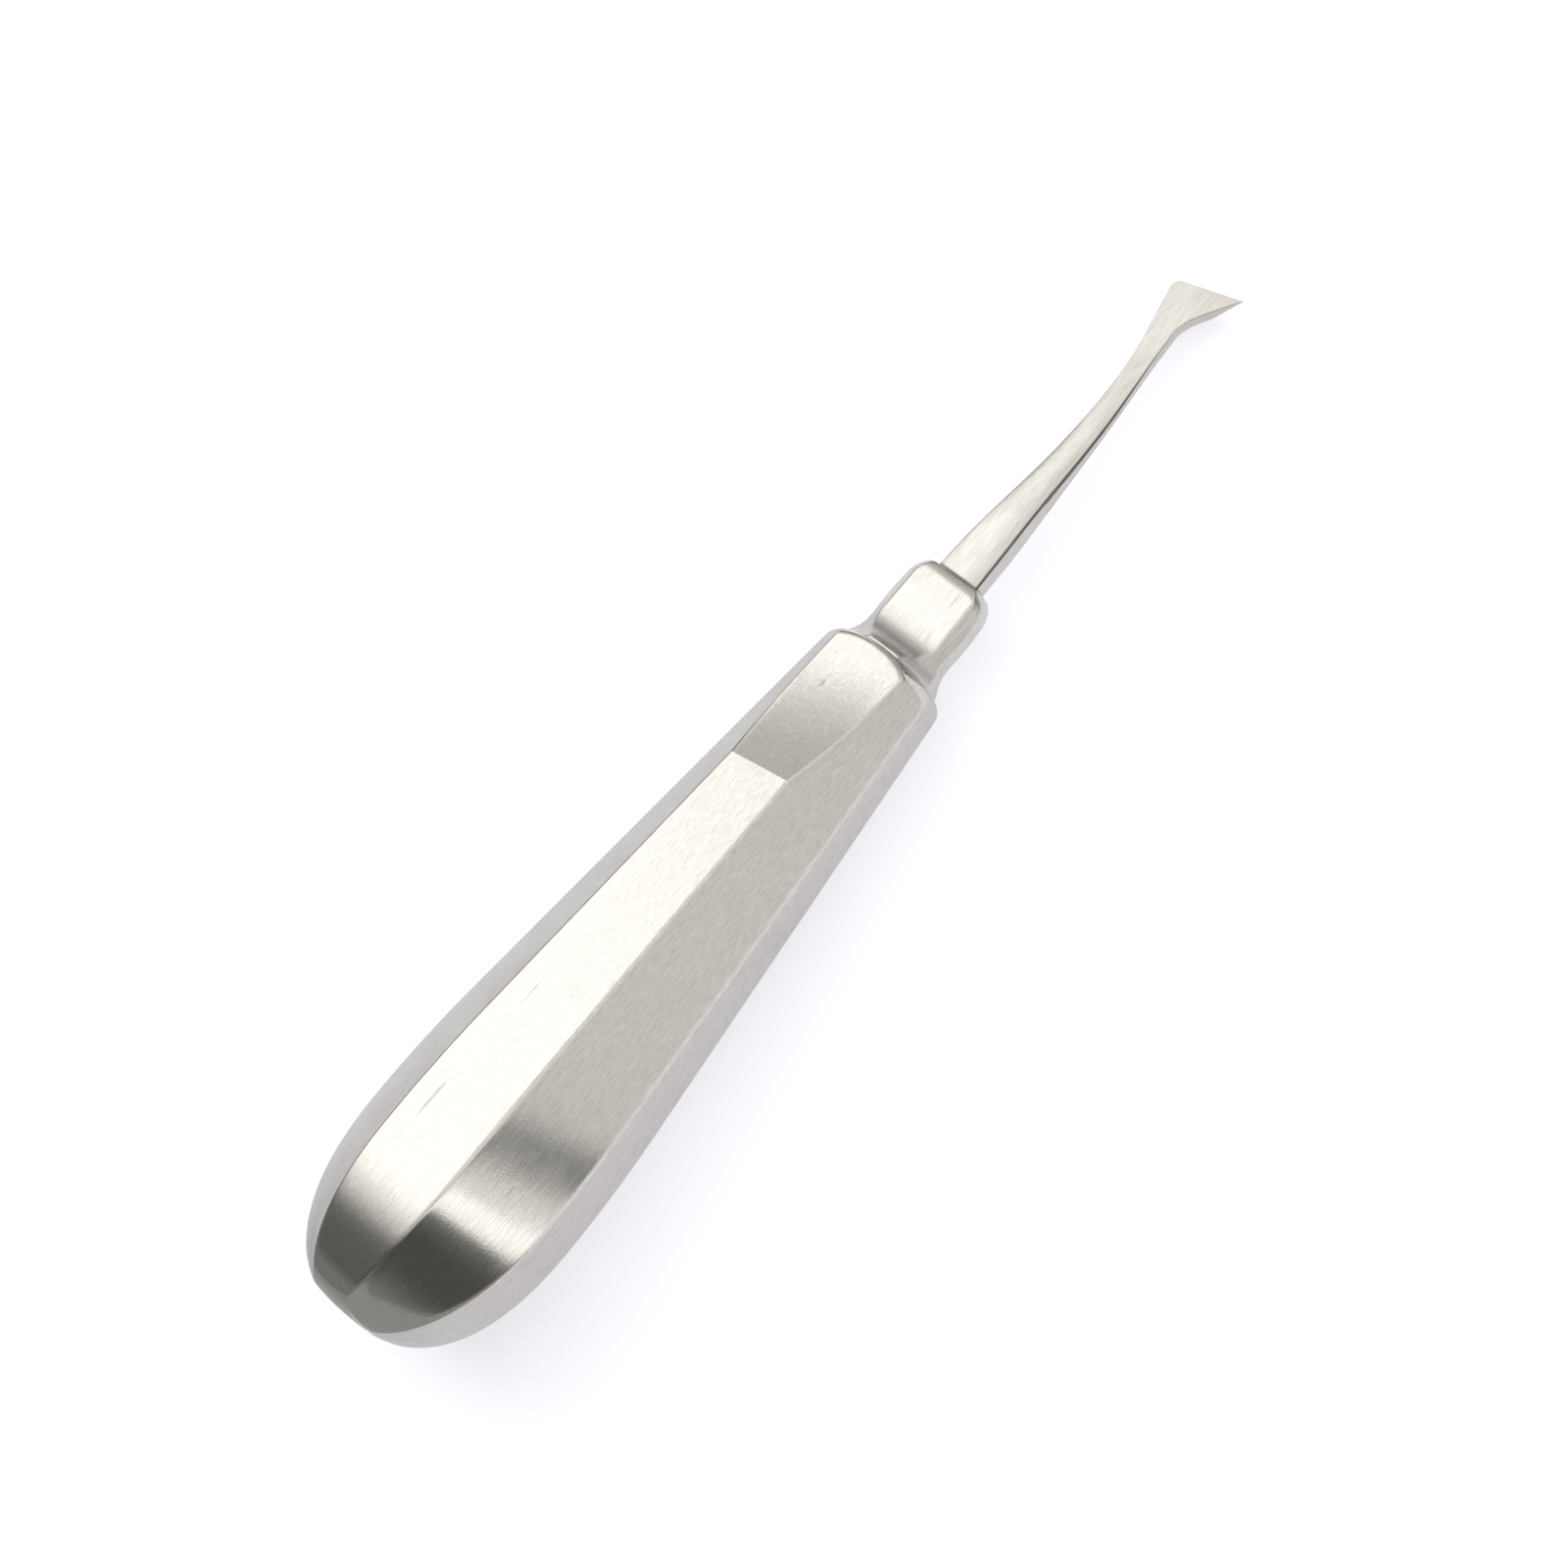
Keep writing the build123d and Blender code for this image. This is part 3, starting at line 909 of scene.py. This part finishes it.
def add_node(
    tree: bpy.types.NodeTree, kind: str, inputs: dict, output: str | int = 0, **settings: object
) -> bpy.types.NodeSocket | None:
    """Adds a node, sets its properties and fills its inputs.

    Args:
        tree: Node tree that gets the node.
        kind: Blender's type name of the node, without the word that all of them start with.
        inputs: Inputs by name or number, each a socket to link or a value to set.
        output: Name or number of the output that is wanted.
        settings: Properties of the node by name.

    Returns:
        The output, or nothing for a node that ends its tree.
    """
    node = tree.nodes.new("ShaderNode" + kind)
    for name, value in settings.items():
        setattr(node, name, value)
    for name, value in inputs.items():
        if isinstance(value, bpy.types.NodeSocket):
            tree.links.new(value, node.inputs[name])
        else:
            node.inputs[name].default_value = value
    return node.outputs[output] if node.outputs else None


def fresh_material(name: str) -> bpy.types.Material:
    """New node material with nothing in it."""
    material = bpy.data.materials.new(name)
    material.use_nodes = True
    material.node_tree.nodes.clear()
    return material


@dataclass(frozen=True)
class SatinSteel:
    """Forged stainless steel, ground lengthwise on a belt and then satin brushed.

    The belt leaves fine lines along the instrument, which catch the light as thin streaks and
    are coarsest on the thumb rest. They are drawn a little coarser than real ones, so that they
    show. The upper facets are buffed and mirror the studio with little blur. Handling leaves
    faint smudges, short scratches and a few pits. Grime sits in the seam around the shank. Its
    dark colour also paints a dark reflection along the shank's right upper edge.
    """

    dip: float
    name: str = "satin_stainless_steel"
    colour: str = "#CFCDC8"
    dull_colour: str = "#A9A6A1"
    # Dark colour of the seam line, also used for the painted dark reflection on the shank's edge.
    seam_and_painted_reflection_colour: str = "#4A463F"
    satin_roughness: float = 0.42
    polished_roughness: float = 0.09
    polished_relief: float = 0.35
    grain_mm: float = 0.24
    grain_depth_mm: float = 0.009
    grain_detail: float = 3.0
    line_mm: float = 0.12
    line_stretch: float = 22.0
    line_depth_mm: float = 0.008
    line_detail: float = 4.0
    line_band: tuple[float, float] = (0.35, 0.65)
    line_dullness: float = 0.55
    coarse_lines: float = 2.2
    smudge_mm: float = 9.0
    smudge_detail: float = 4.0
    smudge_band: tuple[float, float] = (0.45, 0.70)
    smudge_roughness: float = 0.06
    scratch_mm: float = 0.9
    scratch_stretch: float = 14.0
    scratch_turn: float = 0.6
    scratch_detail: float = 3.0
    scratch_band: tuple[float, float] = (0.705, 0.745)
    pit_spacing_mm: float = 3.2
    pit_radius_mm: float = 0.09
    pit_floor: float = 0.4
    mark_depth_mm: float = 0.008

    def build(self) -> bpy.types.Material:
        """Makes the material: marks choose the polish, and noises give its lines and wear.

        Returns:
            The finished material.
        """
        material = fresh_material(self.name)
        add = partial(add_node, material.node_tree)
        place = add("TexCoord", {}, "Object")
        level = add("Mapping", {"Vector": place, "Rotation": (0.0, -self.dip, 0.0)})
        along = add("Mapping", {"Vector": level, "Scale": (1.0 / self.line_stretch, 1.0, 1.0)})
        turn, shrink = (0.0, 0.0, self.scratch_turn), (1.0 / self.scratch_stretch, 1.0, 1.0)
        askew = add("Mapping", {"Vector": level, "Rotation": turn, "Scale": shrink})
        lines, grain, smudge, scratch = (
            add("TexNoise", {"Vector": vector, "Scale": 1.0 / (size * MM), "Detail": detail}, "Fac")
            for vector, size, detail in (
                (along, self.line_mm, self.line_detail),
                (level, self.grain_mm, self.grain_detail),
                (level, self.smudge_mm, self.smudge_detail),
                (askew, self.scratch_mm, self.scratch_detail),
            )
        )
        pit_scale = 1.0 / (self.pit_spacing_mm * MM)
        pits = add("TexVoronoi", {"Vector": level, "Scale": pit_scale}, "Distance")
        pit_edge = self.pit_radius_mm / self.pit_spacing_mm
        marks = ("polished", "thumb", "seam_and_painted_reflection")
        polished, thumb, seam_and_painted_reflection = (add("Attribute", {}, "Fac", attribute_name=mark) for mark in marks)
        scratch, pit, touched, lined, coarse, fine, satin = (
            add("MapRange", {"Value": value, 1: band[0], 2: band[1], 3: low, 4: high})
            for value, band, low, high in (
                (scratch, self.scratch_band, 0.0, 1.0),
                (pits, (pit_edge, self.pit_floor * pit_edge), 0.0, 1.0),
                (smudge, self.smudge_band, 0.0, self.smudge_roughness),
                (lines, self.line_band, 0.0, self.line_dullness),
                (thumb, (0.0, 1.0), 1.0, self.coarse_lines),
                (polished, (0.0, 1.0), 1.0, self.polished_relief),
                (polished, (0.0, 1.0), self.satin_roughness, self.polished_roughness),
            )
        )
        wear = add("Math", {0: scratch, 1: pit}, operation="MAXIMUM")
        worn = add("Math", {0: lined, 1: wear}, operation="MAXIMUM")
        roughness = add("Math", {0: satin, 1: touched}, operation="ADD")
        metal = linear_colour(self.colour)
        # The dull colour follows the lines and the wear; the dark colour follows the seam and the
        # painted dark reflection.
        for share, laid in ((worn, self.dull_colour), (seam_and_painted_reflection, self.seam_and_painted_reflection_colour)):
            inputs = {"Factor": share, "A": metal, "B": linear_colour(laid)}
            metal = add("Mix", inputs, "Result", data_type="RGBA")
        relief = add("Math", {0: lines, 1: coarse}, operation="MULTIPLY")
        relief = add("Math", {0: relief, 1: fine}, operation="MULTIPLY")
        normal = add("Bump", {"Height": relief, "Distance": self.line_depth_mm * MM})
        speckle = add("Math", {0: grain, 1: fine}, operation="MULTIPLY")
        dents = add("Math", {0: 0.0, 1: wear}, operation="SUBTRACT")
        for height, depth in ((speckle, self.grain_depth_mm), (dents, self.mark_depth_mm)):
            normal = add("Bump", {"Height": height, "Distance": depth * MM, "Normal": normal})
        finish = {"Base Color": metal, "Metallic": 1.0, "Roughness": roughness, "Normal": normal}
        add("OutputMaterial", {"Surface": add("BsdfPrincipled", finish)})
        return material


@dataclass(frozen=True)
class Studio:
    """White table, soft light overhead and the camera that looks down on the handle."""

    view_direction: tuple[float, float, float] = (0.016, -0.417, 0.909)
    axis_rise: float = 50.45
    centre_station: float = 76.48
    centre_left: float = 0.81
    lens: float = 85.0
    sensor: float = 36.0
    frame_width: float = 176.8
    near_clip: float = 0.01
    floor_size: float = 1.4
    floor_colour: str = "#E6E5F1"
    floor_glow: float = 0.50
    # Glow of the painted dark reflection that the metal sees past the butt, and where it starts along
    # X.
    painted_reflection_level: float = 0.42
    painted_reflection_edge: tuple[float, float] = (-0.084, -0.105)
    horizon_level: float = 0.28
    screen_edge: tuple[float, float] = (0.0, 0.25)
    horizon_edge: tuple[float, float] = (0.55, 0.30)
    front_edge: tuple[float, float] = (-0.55, -0.85)
    screen_colour: tuple[float, float, float, float] = (1.0, 0.985, 0.965, 1.0)
    room_colour: tuple[float, float, float, float] = (1.0, 0.99, 0.97, 1.0)

    def camera(self, lie: AxisLie) -> None:
        """Places the camera at the photograph's angle.

        The view's right and up come from the handle's axis, laid square to the view and turned
        so that it climbs at the photograph's angle.

        Args:
            lie: Where the axis lies.
        """
        back = np.array(self.view_direction) / np.linalg.norm(self.view_direction)
        flat = lie.along - back * (lie.along @ back)
        flat = flat / np.linalg.norm(flat)
        square = np.cross(back, flat)
        rise = np.radians(self.axis_rise)
        right = np.cos(rise) * flat - np.sin(rise) * square
        up = np.sin(rise) * flat + np.cos(rise) * square
        target = lie.place(np.array(self.centre_station), np.array(self.centre_left), np.array(0.0))
        distance = self.frame_width * self.lens / self.sensor * MM
        data = bpy.data.cameras.new("camera")
        data.lens = self.lens
        data.sensor_width = self.sensor
        data.clip_start = self.near_clip
        camera = bpy.data.objects.new("camera", data)
        turn = Matrix(np.stack([right, up, back], axis=1).tolist()).to_4x4()
        spot = Vector((target + back * distance).tolist())
        camera.matrix_world = Matrix.Translation(spot) @ turn
        bpy.context.scene.collection.objects.link(camera)
        bpy.context.scene.camera = camera

    def floor(self) -> None:
        """Pale table that keeps the shadow and shows white to the camera and in the metal.

        Past the butt, glossy rays see a dimmer glow instead of the table: a painted dark reflection
        in the metal.
        """
        half = self.floor_size / 2.0
        corners = [(-half, -half, 0.0), (half, -half, 0.0), (half, half, 0.0), (-half, half, 0.0)]
        mesh = bpy.data.meshes.new("table")
        mesh.from_pydata(corners, [], [(0, 1, 2, 3)])
        table = bpy.data.objects.new("table", mesh)
        bpy.context.scene.collection.objects.link(table)
        material = fresh_material("white_table")
        add = partial(add_node, material.node_tree)
        rays = add("LightPath", {}).node.outputs
        glossy = rays["Is Glossy Ray"]
        seen = add("Math", {0: rays["Is Camera Ray"], 1: glossy}, operation="MAXIMUM")
        seen = add("Math", {0: seen, 1: rays["Is Transmission Ray"]}, operation="MAXIMUM")
        glow = add("Math", {0: seen, 1: self.floor_glow}, operation="MULTIPLY")
        light = add("Emission", {"Color": linear_colour(WHITE), "Strength": glow})
        paint = add("BsdfDiffuse", {"Color": linear_colour(self.floor_colour)})
        lit = add("AddShader", {0: paint, 1: light})
        # Painted dark reflection: past the butt the table shows glossy rays a dimmer glow than its
        # own white.
        along = add("SeparateXYZ", {0: add("TexCoord", {}, "Object")}, "X")
        edge = {"Value": along, "From Min": self.painted_reflection_edge[0], "From Max": self.painted_reflection_edge[1]}
        past = add("MapRange", edge, interpolation_type="SMOOTHSTEP")
        past = add("Math", {0: past, 1: glossy}, operation="MULTIPLY")
        painted_reflection_glow = add("Emission", {"Color": linear_colour(WHITE), "Strength": self.painted_reflection_level})
        add("OutputMaterial", {"Surface": add("MixShader", {0: past, 1: lit, 2: painted_reflection_glow})})
        mesh.materials.append(material)

    def light(self) -> None:
        """Lit screen overhead, strips in front, a dark horizon behind and a dark room at the butt.

        The world's radiance depends only on the direction. Along X it follows one ramp overhead,
        one in the room and another one low in front, where the handle's front facet mirrors it.
        """
        world = bpy.data.worlds.new("studio")
        bpy.context.scene.world = world
        world.use_nodes = True
        world.node_tree.nodes.clear()
        add = partial(add_node, world.node_tree)
        parts = add("SeparateXYZ", {0: add("TexCoord", {}, "Generated")}).node.outputs
        along = add("MapRange", {"Value": parts["X"], "From Min": -1.0})
        ramps = []
        for stops, tint in (
            (SCREEN_ALONG_X, self.screen_colour),
            (ROOM_ALONG_X, self.room_colour),
            (FRONT_ALONG_X, self.room_colour),
        ):
            grey = add("ValToRGB", {"Fac": along}, "Color")
            self.fill_ramp(grey.node.color_ramp, stops)
            full = tuple(FULL_LEVEL * part for part in tint[:3])
            ramps.append(add("VectorMath", {0: grey, 1: full}, operation="MULTIPLY"))
        screen, room, front = ramps
        horizon = tuple(self.horizon_level * part for part in self.room_colour[:3]) + (1.0,)
        lit = room
        for axis, (start, end), colour in (
            ("Y", self.screen_edge, screen),
            ("Z", self.horizon_edge, horizon),
            ("Y", self.front_edge, front),
        ):
            span = {"Value": parts[axis], "From Min": start, "From Max": end}
            share = add("MapRange", span, interpolation_type="SMOOTHSTEP")
            lit = add("Mix", {"Factor": share, "A": lit, "B": colour}, "Result", data_type="RGBA")
        seen = add("LightPath", {}, "Is Camera Ray")
        inputs = {"Factor": seen, "A": lit, "B": linear_colour(WHITE)}
        shown = add("Mix", inputs, "Result", data_type="RGBA")
        add("OutputWorld", {"Surface": add("Background", {"Color": shown, "Strength": 1.0})})

    def fill_ramp(self, ramp: bpy.types.ColorRamp, stops: tuple[tuple[float, float], ...]) -> None:
        """Fills a grey ramp whose places are the X of a direction, from -1 to 1.

        Args:
            ramp: A new ramp, with two elements.
            stops: Places and radiances, at most twice as bright as white.
        """
        while len(ramp.elements) < len(stops):
            ramp.elements.new(0.5)
        for element, (spot, level) in zip(ramp.elements, stops):
            element.position = (spot + 1.0) / 2.0
            element.color = (level / FULL_LEVEL,) * 3 + (1.0,)


def dress(piece: bpy.types.Object, material: bpy.types.Material, node: str) -> None:
    """Gives a piece its finish and its body, and hides the model's node that it stands for."""
    piece.data.materials.append(material)
    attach(piece, "root")
    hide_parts(node)
    log.info("%s: %d vertices, stands for %s", piece.name, len(piece.data.vertices), node)


def main() -> None:
    """Builds the elevator, the table, the light and the camera."""
    handle, ferrule, working_end = Handle(), Ferrule(), WorkingEnd()
    ferrule_end = handle.length + ferrule.length
    half_reach = (ferrule_end + working_end.length) * np.cos(handle.dip) / 2.0
    lie = AxisLie(handle.rest_height, half_reach, handle.dip)
    steel = SatinSteel(handle.dip).build()
    dress(handle.build(lie), steel, "handle")
    dress(ferrule.build(lie, handle.length), steel, "handle")
    dress(working_end.build(lie, ferrule_end), steel, "working_end")
    studio = Studio()
    studio.floor()
    studio.light()
    studio.camera(lie)
    bpy.context.scene.view_settings.view_transform = "Standard"


if __name__ == "__main__":
    main()
